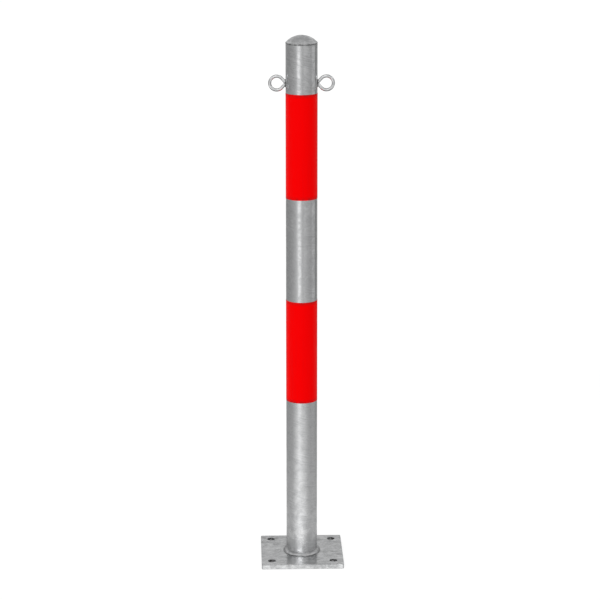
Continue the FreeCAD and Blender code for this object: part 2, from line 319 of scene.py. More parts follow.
def sweep_tree(sweep: Sweep) -> bpy.types.NodeTree:
    """Make a tree that sweeps a section along a path, one of them drawn and the other a circle.

    Args:
        sweep: Whether the path or the section is drawn.

    Returns:
        The geometry tree.
    """
    inputs = {"Geometry": GEOMETRY, "Radius": 0.01, "Sides": 32, "Material": MATERIAL}
    graph, given = new_group(sweep.value, GEOMETRY_TREE, inputs)
    drawn = graph.out("GeometryNodeMeshToCurve", {0: given["Geometry"]})
    circle = graph.out("GeometryNodeCurvePrimitiveCircle",
                       {"Resolution": given["Sides"], "Radius": given["Radius"]})
    path, section = (drawn, circle) if sweep is Sweep.BAR else (circle, drawn)
    swept = graph.out("GeometryNodeCurveToMesh", {"Curve": path, "Profile Curve": section})
    whole = graph.out("GeometryNodeRealizeInstances", {0: swept})
    dressed = graph.out("GeometryNodeSetMaterial", {"Geometry": whole, "Material": given["Material"]})
    return graph.give(GEOMETRY, Geometry=dressed)


# Finishes


class Finish:
    """What every finish shares: the slot it fills, and how its material starts and ends."""

    slot: str

    def material(self) -> bpy.types.Material:
        """Find the finish's material, or make it the first time it is asked for.

        Returns:
            The material.
        """
        name = f"{self.slot}_finish"
        material = bpy.data.materials.get(name)
        if material is None:
            material = bpy.data.materials.new(name)
            material.use_nodes = True
            material.node_tree.nodes.clear()
            graph = Graph(material.node_tree)
            place = graph.add("ShaderNodeTexCoord").outputs["Object"]
            shader = graph.out("ShaderNodeBsdfPrincipled", self.mix(graph, place))
            graph.add("ShaderNodeOutputMaterial", {"Surface": shader})
        return material

    def mix(self, graph: Graph, place: Socket) -> dict[str, Given]:
        """Work out the inputs of the material's shader; each finish has its own way."""
        raise NotImplementedError

    def effect(self, graph: Graph, effect: Effect, **given: Given) -> Sockets:
        """Place a shared effect, with its inputs by name and _ for a blank, and give its outputs."""
        named = {name.replace("_", " "): value for name, value in given.items()}
        return graph.add("ShaderNodeGroup", named, node_tree=effect_group(effect)).outputs

    def marked(self, graph: Graph, name: str) -> Socket:
        """Read a mark that the mesh carries."""
        return graph.add("ShaderNodeAttribute", attribute_name=name).outputs["Fac"]

    def soil_and_shade_mask(self, graph: Graph, place: Socket) -> Socket:
        """Mask of the dirt and painted shade that the mesh is marked for."""
        return self.effect(graph, Effect.SOIL, Vector=place, Soil=self.marked(graph, "soil"))["Mask"]


@dataclass(frozen=True)
class ZincFinish(Finish):
    """Hot-dip zinc: clouded, faintly wiped, and darkened where marked by stains and by painted shade in
    corners, seams, holes and at weld toes.

    Sizes and the relief are in millimetres, and lines in a metre.
    """

    slot: str
    dark: float
    light: float
    patch_size: float
    crystal_size: float
    wiping: float
    roughness: Span
    relief: float
    crystal_share: float = 0.3
    wiping_turn: Triple = (0.0, -0.28, 0.0)
    wiping_size: Span = (40.0, 2.4)
    wiping_gain: float = 4.0
    lines_along: float = 60.0
    lines_across: float = 900.0
    line_patches: float = 40.0
    line_share: float = 0.6
    # Colour of dirt and of painted shade
    soil: Triple = (0.035, 0.034, 0.033)
    soil_and_shade_roughness: float = 0.3
    soil_and_shade_dullness: float = 0.5
    pits: float = 0.4
    mark_relief: float = 0.8
    grain_relief: float = 0.05

    def mix(self, graph: Graph, place: Socket) -> dict[str, Given]:
        """Mix the zinc.

        Args:
            graph: The material's graph.
            place: The piece's own coordinates.

        Returns:
            The shader's inputs.
        """
        clouds = self.effect(graph, Effect.CLOUDS, Vector=place, Patches=1 / (self.patch_size * MM),
                             Crystals=1 / (self.crystal_size * MM), Crystal_Share=self.crystal_share)
        length, width = self.wiping_size
        marks = self.effect(graph, Effect.WIPING, Vector=place, Turn=self.wiping_turn,
                            Length=1 / (length * MM), Width=1 / (width * MM))["Tone"]
        lines = self.effect(graph, Effect.WIPING, Vector=place, Length=self.lines_along,
                            Width=self.lines_across, Patches=self.line_patches)["Tone"]
        grain = self.effect(graph, Effect.GRAIN, Vector=place)
        # Darkens, roughens and lowers the metal share where dirt or painted shade is marked
        soil = self.soil_and_shade_mask(graph, place)

        wiped = graph.math("ADD", marks, graph.math("MULTIPLY", lines, self.line_share))
        mean = 0.5 * (1 + self.line_share)
        swing = graph.math("MULTIPLY", graph.math("SUBTRACT", wiped, mean), self.wiping_gain * self.wiping)
        tone = graph.math("ADD", clouds["Tone"], swing, clamp=True)
        zinc = graph.blend(tone, grey(self.dark), grey(self.light))
        pitted = graph.blend(graph.math("MULTIPLY", grain["Pits"], self.pits), zinc, self.soil)
        dull = graph.spread(tone, (0.0, 1.0), (self.roughness[1], self.roughness[0]))
        rough = graph.math("MULTIPLY_ADD", soil, self.soil_and_shade_roughness, dull)
        waves = graph.math("MULTIPLY_ADD", marks, self.mark_relief, clouds["Height"])
        height = graph.math("MULTIPLY_ADD", grain["Height"], self.grain_relief, waves)
        return {
            "Base Color": graph.blend(soil, pitted, self.soil),
            "Metallic": graph.math("MULTIPLY_ADD", soil, -self.soil_and_shade_dullness, 1.0),
            "Roughness": graph.math("ADD", rough, self.marked(graph, "dull"), clamp=True),
            "Normal": graph.bump(height, self.relief),
        }


@dataclass(frozen=True)
class FilmFinish(Finish):
    """Red reflective film with a smooth clear face.

    The relief is in millimetres, and lines and grains in a metre.
    """

    slot: str = "red_film"
    red: Triple = (0.93, 0.0001, 0.0003)
    worn: Triple = (0.86, 0.0006, 0.001)
    worn_range: Span = (0.45, 0.8)
    soil: Triple = (0.10, 0.012, 0.012)
    roughness: Span = (0.2, 0.3)
    relief: float = 0.015
    gloss: float = 0.05
    gloss_tint: Triple = (1.0, 0.2, 0.3)
    lines_along: float = 14.0
    lines_across: float = 300.0
    line_turn: Triple = (0.0, math.pi / 2, 0.0)
    grains: float = 1600.0

    def mix(self, graph: Graph, place: Socket) -> dict[str, Given]:
        """Mix the film.

        Args:
            graph: The material's graph.
            place: The piece's own coordinates.

        Returns:
            The shader's inputs.
        """
        marks = self.effect(graph, Effect.WIPING, Vector=place, Turn=self.line_turn,
                            Length=self.lines_along, Width=self.lines_across)["Tone"]
        grain = self.effect(graph, Effect.GRAIN, Vector=place, Grains=self.grains)["Height"]
        film = graph.blend(graph.spread(marks, self.worn_range), self.red, self.worn)
        return {
            "Base Color": graph.blend(self.soil_and_shade_mask(graph, place), film, self.soil),
            "Metallic": 0.0,
            "Roughness": graph.spread(marks, NOISE_RANGE, self.roughness),
            "Specular IOR Level": self.gloss,
            "Specular Tint": opaque(self.gloss_tint),
            "Normal": graph.bump(grain, self.relief),
        }


@dataclass(frozen=True)
class FloorFinish(Finish):
    """Pale studio floor."""

    slot: str = "studio_floor"
    pale: Triple = (0.24, 0.24, 0.24)
    paler: Triple = (0.25, 0.25, 0.25)
    patches: float = 3.0
    roughness: float = 0.9
    glow: float = 3.45

    def mix(self, graph: Graph, place: Socket) -> dict[str, Given]:
        """Mix the floor's paint."""
        colour = graph.blend(graph.noise(place, self.patches), self.pale, self.paler)
        return {"Base Color": colour, "Roughness": self.roughness, "Specular IOR Level": 0.0,
                "Emission Color": colour, "Emission Strength": self.glow}


TUBE_ZINC = ZincFinish("galvanised_tube", dark=0.52, light=0.67, patch_size=14.0, crystal_size=5.0,
                       wiping=0.5, roughness=(0.15, 0.27), relief=0.03, crystal_share=0.2)
CAP_ZINC = ZincFinish("galvanised_cap", dark=0.51, light=0.73, patch_size=6.0, crystal_size=3.0,
                      wiping=0.5, roughness=(0.48, 0.6), relief=0.10, wiping_turn=(0.3, -0.1, 0.0))
PLATE_ZINC = ZincFinish("galvanised_plate", dark=0.42, light=0.57, patch_size=8.0, crystal_size=4.0,
                        wiping=0.8, roughness=(0.14, 0.26), relief=0.10,
                        wiping_turn=(math.pi / 2, 0.0, 0.7), wiping_size=(30.0, 9.0))
BAR_ZINC = ZincFinish("galvanised_bar", dark=0.63, light=0.78, patch_size=6.0, crystal_size=2.5,
                      wiping=0.1, roughness=(0.10, 0.18), relief=0.02)
WELD_ZINC = ZincFinish("weld_metal", dark=0.37, light=0.54, patch_size=7.0, crystal_size=2.5,
                       wiping=0.2, roughness=(0.28, 0.42), relief=0.06)
RED_FILM = FilmFinish()


# Meshes


class Draft:
    """Points and faces of a mesh in the making."""

    def __init__(self) -> None:
        """Start with nothing."""
        self.points: list[Vector] = []
        self.faces: list[tuple[int, ...]] = []

    def add(self, points: Iterable[Vector]) -> list[int]:
        """Add points.

        Args:
            points: Where they are, in metres.

        Returns:
            Their numbers.
        """
        first = len(self.points)
        self.points.extend(points)
        return list(range(first, len(self.points)))

    def join(self, one: list[int], other: list[int]) -> None:
        """Lay a closed strip of faces between two rows of points, or a fan where a row is a single point.

        Args:
            one: Numbers of the first row.
            other: Numbers of the second row.
        """
        count = max(len(one), len(other))
        for i in range(count):
            after = (i + 1) % count
            corners = (one[i % len(one)], one[after % len(one)],
                       other[after % len(other)], other[i % len(other)])
            self.faces.append(tuple(dict.fromkeys(corners)))

    def cover(self, rows: list[list[int]]) -> None:
        """Lay a strip from each row of points to the next."""
        for one, other in zip(rows, rows[1:]):
            self.join(one, other)

    def lathe(self, profile: Sequence[Span], segments: int, closed: bool) -> None:
        """Turn a profile about the post's axis.

        Args:
            profile: Radius and height of each point, in metres; a radius of 0 is a pole.
            segments: Steps round the axis.
            closed: Whether the profile comes back to its start.
        """
        rows = [self.add(polar(radius, TURN * i / segments, height) for i in range(segments if radius else 1))
                for radius, height in profile]
        self.cover(rows + rows[:1] if closed else rows)

    def shift(self, rule: Move) -> None:
        """Move every point by what a rule gives for its place."""
        self.points = [point + rule(point) for point in self.points]

    def piece(self, name: str, sharp: float = 35.0) -> bpy.types.Object:
        """Make the mesh an object.

        Args:
            name: Name of the piece.
            sharp: Edges over this many degrees stay sharp.

        Returns:
            The object, in the scene.
        """
        mesh = bpy.data.meshes.new(name)
        mesh.from_pydata(self.points, [], self.faces)
        return new_object(name, mesh, sharp)


@dataclass(frozen=True)
class Wave:
    """Slow waves of a zinc skin. The seed picks the skin, and the stretch draws it out upwards."""

    height: float
    length: float
    seed: float
    stretch: float = 1.0

    def at(self, point: Vector) -> float:
        """Height of the wave over or under the mean at a point."""
        place = Vector((point.x, point.y, point.z / self.stretch)) / self.length
        return self.height * WAVE_SHARE * noise.fractal(place + self.seed_place(), *WAVE_NOISE)

    def seed_place(self) -> Vector:
        """Where in the endless noise the skin lies."""
        return Vector([share * self.seed for share in SEED_PLACE])


@dataclass(frozen=True)
class Mark:
    """A mark that fades with the distance, and that may be full up to a place before it does."""

    strength: float
    width: float
    full: float = 0.0

    def at(self, distance: float) -> float:
        """Strength of the mark at a distance to either side."""
        return self.strength * math.exp(-((distance / self.width) ** 2))

    def past(self, distance: float) -> float:
        """Strength of the mark at a distance, where it only fades past the place that it is full up to."""
        return self.at(max(0.0, distance - self.full))


def held(value: float) -> float:
    """Hold a value between 0 and 1."""
    return min(1.0, max(0.0, value))


def polar(radius: float, angle: float, height: float) -> Vector:
    """Point at a radius, an angle from +X and a height."""
    return Vector((radius * math.cos(angle), radius * math.sin(angle), height))


def bearing_of(point: Vector) -> float:
    """Bearing of a point from +X, in degrees."""
    return math.degrees(math.atan2(point.y, point.x))


def steps(start: float, end: float, size: float) -> list[float]:
    """Divide a length evenly, in steps of a size at most, and give the places with both ends."""
    count = max(1, math.ceil(abs(end - start) / size - HAIR))
    return [start + (end - start) * i / count for i in range(count + 1)]


def arc(middle: Span, radius: float, first: float, last: float, count: int) -> list[Span]:
    """Points on an arc, in so many steps from the first angle to the last, in degrees."""
    angles = [math.radians(first + (last - first) * i / count) for i in range(count + 1)]
    return [(middle[0] + radius * math.cos(a), middle[1] + radius * math.sin(a)) for a in angles]


def ball_of(half_width: float, rise: float) -> float:
    """Radius of the ball that a dome is cut from."""
    return (half_width ** 2 + rise ** 2) / (2 * rise)


def new_object(name: str, mesh: bpy.types.Mesh, sharp: float) -> bpy.types.Object:
    """Turn a mesh's faces outwards, shade it and put it in the scene.

    Args:
        name: Name of the object.
        mesh: Its mesh.
        sharp: Edges over this many degrees stay sharp.

    Returns:
        The object.
    """
    edit = bmesh.new()
    edit.from_mesh(mesh)
    bmesh.ops.recalc_face_normals(edit, faces=edit.faces)
    edit.to_mesh(mesh)
    edit.free()
    mesh.shade_smooth()
    mesh.set_sharp_from_angle(angle=math.radians(sharp))
    piece = bpy.data.objects.new(name, mesh)
    bpy.context.scene.collection.objects.link(piece)
    return piece


def even(point: Vector) -> float:
    """Rule for a mark that a piece doesn't have."""
    return 0.0


def dress(piece: bpy.types.Object, node: str, finish: Finish, soil: Rule, dull: Rule = even) -> None:
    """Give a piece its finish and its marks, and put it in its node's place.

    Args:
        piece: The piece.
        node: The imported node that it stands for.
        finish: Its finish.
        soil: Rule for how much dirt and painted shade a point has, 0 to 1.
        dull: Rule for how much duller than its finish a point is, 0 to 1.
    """
    mesh = piece.data
    mesh.materials.clear()
    mesh.materials.append(finish.material())
    # The first mark holds dirt and painted shade, the second dullness
    for name, rule in (("soil", soil), ("dull", dull)):
        marks = mesh.attributes.new(name, "FLOAT", "POINT")
        marks.data.foreach_set("value", [held(rule(vertex.co)) for vertex in mesh.vertices])
    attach(piece, BODY)
    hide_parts(node)
    LOG.info("%s stands for %s: %d faces in %s", piece.name, node, len(mesh.polygons), finish.slot)


def grow(name: str, sweep: Sweep, points: Sequence[Vector], given: dict) -> bpy.types.Mesh:
    """Let a sweep's tree make a mesh from a drawn line, which is closed where it is a section.

    Args:
        name: Name of the mesh.
        sweep: Which tree.
        points: Points of the line, in metres.
        given: Values of the tree's inputs, by name.

    Returns:
        The plain mesh.
    """
    tree = bpy.data.node_groups.get(sweep.value) or sweep_tree(sweep)
    count = len(points)
    edges = [(i, (i + 1) % count) for i in range(count if sweep is Sweep.RING else count - 1)]
    line = bpy.data.meshes.new(f"{name}_outline")
    line.from_pydata(points, edges, [])
    carrier = bpy.data.objects.new(f"{name}_carrier", line)
    bpy.context.scene.collection.objects.link(carrier)
    modifier = carrier.modifiers.new("grow", "NODES")
    modifier.node_group = tree
    for socket in tree.interface.items_tree:
        if socket.in_out == "INPUT" and socket.name in given:
            modifier[socket.identifier] = given[socket.name]
    graph = bpy.context.evaluated_depsgraph_get()
    mesh = bpy.data.meshes.new_from_object(carrier.evaluated_get(graph))
    mesh.name = name
    carrier.modifiers.remove(modifier)
    bpy.data.objects.remove(carrier)
    return mesh


# Sub-assemblies


@dataclass
class PostTube:
    """The round tube, with its bore, the broken edge at its top and the slow waves of its zinc."""

    radius: float
    foot: float
    top: float
    films: tuple[Span, ...]
    wall: float = 2.5 * MM
    end_break: float = 0.6 * MM
    segments: int = 192
    step: float = 3.0 * MM
    covered_step: float = 30.0 * MM
    bore_step: float = 50.0 * MM
    slow: Wave = Wave(0.14 * MM, 21 * MM, seed=3.1, stretch=1.6)
    quick: Wave = Wave(0.0196 * MM, 5.25 * MM, seed=8.4, stretch=0.7)
    calm: Mark = Mark(0.8, 0.1, full=0.17)  # in shares of the tube's height
    # Painted shade: a dark line under the cap's seam, and darker left and right sides at the foot
    cap_seam_shade: Mark = Mark(0.4, 0.7 * MM)
    foot_side_shade: Mark = Mark(0.4, 13 * MM, full=8 * MM)
    heat: Mark = Mark(0.25, 30 * MM, full=10 * MM)
    bright_run: Mark = Mark(1.0, 11 * MM)

    @classmethod
    def from_frame(cls) -> "PostTube":
        """Take the tube's sizes from its node, and where films cover it from theirs.

        Returns:
            The tube.
        """
        low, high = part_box("post_tube")
        bands = [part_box(f"{level.value}_red_band") for level in (Level.LOWER, Level.UPPER)]
        return cls(radius=high.x, foot=low.z, top=high.z, films=tuple((box[0].z, box[1].z) for box in bands))

    def covered(self, height: float) -> bool:
        """Whether a film lies over the tube at a height."""
        return any(low - MM < height < high + MM for low, high in self.films)

    def skin(self, point: Vector) -> Vector:
        """Wave of the zinc at a point of the tube.

        Args:
            point: Where, in metres.

        Returns:
            How far the point moves.
        """
        out = Vector((point.x, point.y, 0.0))
        if out.length < self.radius - HAIR or self.covered(point.z):
            return Vector()
        calmed = 1.0 - self.calm.past(point.z / self.top)
        return out.normalized() * (calmed * (self.slow.at(point) + self.quick.at(point)))

    def soil(self, point: Vector) -> float:
        """Painted shade in the seam under the cap, and painted dark reflection on the left and right of the
        foot.
        """
        aside = (point.x / self.radius) ** 2
        return self.cap_seam_shade.at(self.top - point.z) + aside * self.foot_side_shade.past(point.z - self.foot)

    def dull(self, point: Vector) -> float:
        """Duller zinc over the heat of the foot's weld, but for the bright run down its front."""
        return self.heat.past(point.z - self.foot) * (1.0 - self.bright_run.at(point.x))

    def build(self) -> None:
        """Make the tube and dress it."""
        marks = [self.foot, *(height for film in self.films for height in film), self.top - self.end_break]
        heights: list[float] = []
        for low, high in zip(marks, marks[1:]):
            step = self.covered_step if self.covered((low + high) / 2) else self.step
            heights += steps(low, high, step)[:-1]
        profile = [(self.radius, height) for height in (*heights, marks[-1])]
        profile.append((self.radius - self.end_break, self.top))
        bore = self.radius - self.wall
        profile += [(bore, height) for height in steps(self.top, self.foot, self.bore_step)]
        draft = Draft()
        draft.lathe(profile, self.segments, closed=True)
        draft.shift(self.skin)
        dress(draft.piece("tube_skin"), "post_tube", TUBE_ZINC, self.soil, self.dull)


@dataclass
class DomedCap:
    """The domed cap with its short rim, the groove under it and the spigot in the tube."""

    seat: float
    top: float
    rim: float
    foot: float
    tube_bore: float = 27.5 * MM
    rim_height: float = 2.0 * MM
    rim_break: float = 0.9 * MM
    shoulder: float = 1.5 * MM
    wall: float = 2.5 * MM
    clearance: float = 0.1 * MM
    lead: float = 1.0 * MM
    segments: int = 160
    dome_steps: int = 36
    shoulder_steps: int = 8
    hollow_steps: int = 12
    slow: Wave = Wave(0.10 * MM, 9 * MM, seed=5.5)
    quick: Wave = Wave(0.04 * MM, 3 * MM, seed=1.5)
    wave_foot: float = 0.2 * MM
    wave_depth: float = 15 * MM
    # Painted shade in the groove under the rim and on the rim itself; the groove's line is broken at the
    # listed bearings
    groove_shade: Mark = Mark(0.8, 0.45 * MM, full=0.3 * MM)
    rim_shade: Mark = Mark(0.62, 2.0 * MM, full=0.3 * MM)
    shade_gaps: tuple[tuple[float, Mark], ...] = (  # bearings and widths in degrees
        (-118.0, Mark(0.75, 20.0)),
        (-88.0, Mark(0.35, 5.0)),
        (-70.0, Mark(0.6, 14.0)),
    )

    @classmethod
    def from_frame(cls) -> "DomedCap":
        """Take the cap's sizes from its node, and its seat from the tube's end."""
        low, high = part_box("top_cap")
        return cls(seat=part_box("post_tube")[1].z, top=high.z, rim=high.x, foot=low.z)

    def dome(self) -> list[Span]:
        """Outline of the dome and the rim.

        Returns:
            Radius and height of its points, from the pole down to the seat.
        """
        ball = ball_of(self.rim, self.top - self.seat - self.rim_height)
        middle = self.top - ball
        inner = self.rim - self.shoulder
        bend = middle + math.sqrt((ball - self.shoulder) ** 2 - inner ** 2)
        meet = math.degrees(math.atan2(bend - middle, inner))
        curve = arc((0.0, middle), ball, UPRIGHT, meet, self.dome_steps)
        curve[0] = (0.0, self.top)
        curve += arc((inner, bend), self.shoulder, meet, 0.0, self.shoulder_steps)[1:]
        return curve + [(self.rim, self.seat + self.rim_break), (self.rim - self.rim_break, self.seat)]

    def inside(self) -> list[Span]:
        """Outline of the spigot and the hollow.

        Returns:
            Radius and height of its points, from the seat down and then up to the pole.
        """
        spigot = self.tube_bore - self.clearance
        hollow, roof = spigot - self.wall, self.top - self.wall
        rise = roof - self.seat
        ball = ball_of(hollow, rise)
        start = math.degrees(math.asin((ball - rise) / ball))
        curve = arc((0.0, roof - ball), ball, start, UPRIGHT, self.hollow_steps)
        curve[-1] = (0.0, roof)
        lead = [(spigot, self.foot + self.lead), (spigot - self.lead, self.foot)]
        return [(spigot, self.seat), *lead, (hollow, self.foot), *curve]

    def skin(self, point: Vector) -> Vector:
        """Wave of the zinc at a point of the cap.

        Args:
            point: Where, in metres.

        Returns:
            How far the point moves.
        """
        if point.z < self.seat + self.wave_foot:
            return Vector()
        out = (point - Vector((0, 0, self.seat - self.wave_depth))).normalized()
        return out * (self.slow.at(point) + self.quick.at(point))

    def soil(self, point: Vector) -> float:
        """Painted shade in the groove under the rim, broken at a few bearings, and painted shade on the rim
        that damps its highlight.

        Args:
            point: Where, in metres.

        Returns:
            How soiled the point is.
        """
        above = point.z - self.seat
        gap_share = sum(bridge.at(bearing_of(point) - bearing) for bearing, bridge in self.shade_gaps)
        return self.groove_shade.past(above) * max(0.0, 1.0 - gap_share) + self.rim_shade.past(above)

    def build(self) -> None:
        """Make the cap and dress it."""
        draft = Draft()
        draft.lathe(self.dome() + self.inside(), self.segments, closed=False)
        draft.shift(self.skin)
        dress(draft.piece("cap_dome"), "top_cap", CAP_ZINC, self.soil)


@dataclass
class FootPlate:
    """The square plate with four bolt holes, a zinc vent, rounded edges and a lump of zinc at a corner."""

    half_width: float
    half_depth: float
    top: float
    corner: float = 3.0 * MM
    corner_steps: int = 8
    edge: float = 0.8 * MM
    edge_steps: int = 5
    bolt_across: float = 120 * MM
    bolt_deep: float = 120 * MM
    bolt_radius: float = 7.5 * MM
    vent_radius: float = 15.0 * MM
    hole_edge: float = 0.5 * MM
    hole_sides: int = 48
    side_step: float = 4.0 * MM
    wall_step: float = 1.4 * MM
    upper_step: float = 2.0 * MM
    lower_step: float = 10.0 * MM
    edge_clearance: float = 1.3 * MM
    hole_clearance: float = 1.4 * MM
    slow: Wave = Wave(0.15 * MM, 15 * MM, seed=7.3)
    quick: Wave = Wave(0.0525 * MM, 5 * MM, seed=2.9)
    edge_wave: Wave = Wave(0.03 * MM, 6 * MM, seed=4.4)
    lump_place: Span = (71 * MM, -79 * MM)
    lump: Mark = Mark(1.7 * MM, 2.6 * MM)
    lump_lean: Triple = (0.2, -0.7, 0.6)
    # Painted shade down the walls of the holes
    hole_shade: float = 0.72
    hole_shade_depth: float = 1.5 * MM
    hole_margin: float = 0.1 * MM
    weld_toe: float = 36.5 * MM
    # Painted shade at the front of the weld's toe
    toe_shade: Mark = Mark(0.9, 1.2 * MM, full=0.4 * MM)
    # A darker patch beside the lump of zinc
    lump_dark_patch: Mark = Mark(0.7, 1.2 * MM)
    lump_dark_patch_aside: float = 4.0 * MM
    stains: Wave = Wave(0.42, 11 * MM, seed=6.1)
    stain_depth: float = 0.5 * MM
    # Painted shade that deepens the stains towards the back
    back_shade_slope: float = 0.6

    @classmethod
    def from_frame(cls) -> "FootPlate":
        """Take the plate's sizes from its node."""
        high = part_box("base_plate")[1]
        return cls(half_width=high.x, half_depth=high.y, top=high.z)

    def holes(self) -> list[Triple]:
        """Centre and radius of every hole."""
        across, deep = self.bolt_across / 2, self.bolt_deep / 2
        return [*((x, y, self.bolt_radius) for x in (-across, across) for y in (-deep, deep)),
                (0.0, 0.0, self.vent_radius)]

    def in_hole(self, x: float, y: float, margin: float = 0.0) -> bool:
        """Whether a place is in a hole, or in a margin round it."""
        return any(math.hypot(x - hx, y - hy) <= radius + margin for hx, hy, radius in self.holes())

    def outline(self, inset: float, height: float) -> list[Vector]:
        """Points round the plate's edge.

        Args:
            inset: How far inside the edge.
            height: Their height.

        Returns:
            The points, counter-clockwise.
        """
        ring: list[Vector] = []
        for quarter in range(4):
            turn = Matrix.Rotation(quarter * math.pi / 2, 3, "Z")
            sizes = (self.half_width, self.half_depth)
            side, reach = sizes if quarter % 2 == 0 else sizes[::-1]
            along = steps(self.corner - reach, reach - self.corner, self.side_step)[:-1]
            bend = arc((side - self.corner, reach - self.corner), self.corner - inset, 0.0, UPRIGHT,
                       self.corner_steps)[:-1]
            ring += [turn @ Vector((x, y, height)) for x, y in [*((side - inset, y) for y in along), *bend]]
        return ring

    def rim(self, x: float, y: float, radius: float, inset: float, height: float) -> list[Vector]:
        """Points round a hole, counter-clockwise."""
        ring = [polar(radius + inset, TURN * i / self.hole_sides, height) for i in range(self.hole_sides)]
        return [Vector((x, y, 0)) + point for point in ring]

    def fill(self, draft: Draft, loops: list[list[int]], height: float, step: float) -> None:
        """Fill a flat face between the plate's edge and its holes.

        Args:
            draft: The mesh in the making.
            loops: Numbers of the points round the edge, then round each hole.
            height: Height of the face.
            step: Spacing of the points inside it.
        """
        numbers = [number for loop in loops for number in loop]
        flat = [draft.points[number].to_2d() for number in numbers]
        edges: list[tuple[int, int]] = []
        for loop in loops:
            first = len(edges)
            edges += [(first + i, first + (i + 1) % len(loop)) for i in range(len(loop))]
        clear = self.edge + self.edge_clearance
        inner = [Vector((x, y))
                 for x in steps(clear - self.half_width, self.half_width - clear, step)
                 for y in steps(clear - self.half_depth, self.half_depth - clear, step)
                 if not self.in_hole(x, y, self.hole_clearance)]
        numbers += draft.add(Vector((point.x, point.y, height)) for point in inner)
        places, _, faces, origin, _, _ = delaunay_2d_cdt(flat + inner, edges, [], INSIDE, SAME_POINT)
        for face in faces:
            middle = sum((places[corner] for corner in face), Vector((0, 0))) / len(face)
            if not self.in_hole(middle.x, middle.y):
                draft.faces.append(tuple(numbers[origin[corner][0]] for corner in face))

    def wall(self, draft: Draft, ring: Callable[[float, float], list[Vector]],
             edge: float) -> tuple[list[int], list[int]]:
        """Lay a wall from the upper to the lower face, with both edges rounded.

        Args:
            draft: The mesh in the making.
            ring: Gives the points of a level from their inset and height.
            edge: Radius of the rounding.

        Returns:
            Numbers of the uppermost and the lowest row.
        """
        quarter = arc((0, 0), edge, UPRIGHT, 0.0, self.edge_steps)
        upper = [(edge - r, self.top - edge + z) for r, z in quarter]
        straight = [(0.0, z) for z in steps(self.top - edge, edge, self.wall_step)[1:-1]]
        lower = [(inset, self.top - z) for inset, z in reversed(upper)]
        rows = [draft.add(ring(inset, height)) for inset, height in upper + straight + lower]
        draft.cover(rows)
        return rows[0], rows[-1]

    def skin(self, point: Vector) -> Vector:
        """Wave of the zinc at a point of the plate, with the lump at its corner.

        Args:
            point: Where, in metres.

        Returns:
            How far the point moves.
        """
        level = held((point.z - self.top / 2) / (self.top / 2))
        rise = (self.slow.at(point) + self.quick.at(point)) * level ** 4
        x, y = self.lump_place
        lump = self.lump.at(math.hypot(point.x - x, point.y - y)) * level
        moved = Vector((0, 0, rise)) + Vector(self.lump_lean) * lump
        if max(abs(point.x) - self.half_width, abs(point.y) - self.half_depth) > -MM:
            moved += Vector((point.x, point.y, 0)).normalized() * self.edge_wave.at(point)
        return moved

    def soil(self, point: Vector) -> float:
        """Painted shade in the holes and at the front of the weld's toe, a darker patch beside the lump of
        zinc, and faint stains on top that painted shade deepens towards the back.

        Args:
            point: Where, in metres.

        Returns:
            How soiled the point is.
        """
        deep = self.top - point.z
        soil = 0.0
        # Painted shade in the holes
        if self.in_hole(point.x, point.y, self.hole_margin):
            soil = min(self.hole_shade, deep / self.hole_shade_depth)
        # Painted shade at the weld's toe, on the front only
        front = max(0.0, -point.y / self.weld_toe)
        soil += front * self.toe_shade.past(math.hypot(point.x, point.y) - self.weld_toe)
        # Darker patch beside the lump
        x, y = self.lump_place
        soil += self.lump_dark_patch.at(math.hypot(point.x - x + self.lump_dark_patch_aside, point.y - y))
        if deep < self.stain_depth:
            # Stains, deepened towards the back as painted shade
            slope = 1.0 + self.back_shade_slope * point.y / self.half_depth
            soil += max(0.0, self.stains.at(point)) * slope
        return soil

    def build(self) -> None:
        """Make the plate and dress it."""
        draft = Draft()
        ends = [self.wall(draft, self.outline, self.edge)]
        ends += [self.wall(draft, partial(self.rim, *hole), self.hole_edge) for hole in self.holes()]
        self.fill(draft, [upper for upper, _ in ends], self.top, self.upper_step)
        self.fill(draft, [lower for _, lower in ends], 0.0, self.lower_step)
        draft.shift(self.skin)
        dress(draft.piece("foot_plate"), "base_plate", PLATE_ZINC, self.soil)


@dataclass
class FootWeld:
    """The fillet weld round the tube's foot, in one smooth crowned run."""

    tube_radius: float
    reach: float
    seat: float
    top: float
    crown: float = 0.9 * MM
    face_steps: int = 18
    segments: int = 396
    sharp: float = 50.0
    # Painted shade along both toes of the weld
    plate_toe_shade: Mark = Mark(0.9, 0.7 * MM)
    tube_toe_shade: Mark = Mark(0.25, 3 * MM)

    @classmethod
    def from_frame(cls) -> "FootWeld":
        """Take the weld's sizes from its node, and the tube's from its own."""
        low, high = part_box("base_weld")
        return cls(tube_radius=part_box("post_tube")[1].x, reach=high.x, seat=low.z, top=high.z)

    def section(self) -> list[Vector]:
        """Outline of the weld's cut face.

        Returns:
            Its points, drawn flat: out from the tube along X, and up from the plate against Y.
        """
        leg = self.reach - self.tube_radius
        points = [Vector()]
        for along in steps(0.0, 1.0, 1 / self.face_steps):
            bulge = self.crown * 4 * along * (1 - along) / math.sqrt(2)
            points.append(Vector((leg * (1 - along) + bulge, -leg * along - bulge, 0)))
        return points

    def soil(self, point: Vector) -> float:
        """Painted shade along the weld's two toes: at the plate in front, and at the tube on the left and
        right.
        """
        front, aside = max(0.0, -point.y / self.reach), min(1.0, (point.x / self.tube_radius) ** 2)
        return front * self.plate_toe_shade.at(point.z - self.seat) + aside * self.tube_toe_shade.at(point.z - self.top)

    def build(self) -> None:
        """Grow the weld and dress it."""
        mesh = grow("foot_bead", Sweep.RING, self.section(), {
            "Radius": self.tube_radius, "Sides": self.segments, "Material": WELD_ZINC.material()})
        mesh.transform(Matrix.Translation((0, 0, self.seat)))
        dress(new_object("foot_bead", mesh, self.sharp), "base_weld", WELD_ZINC, self.soil)


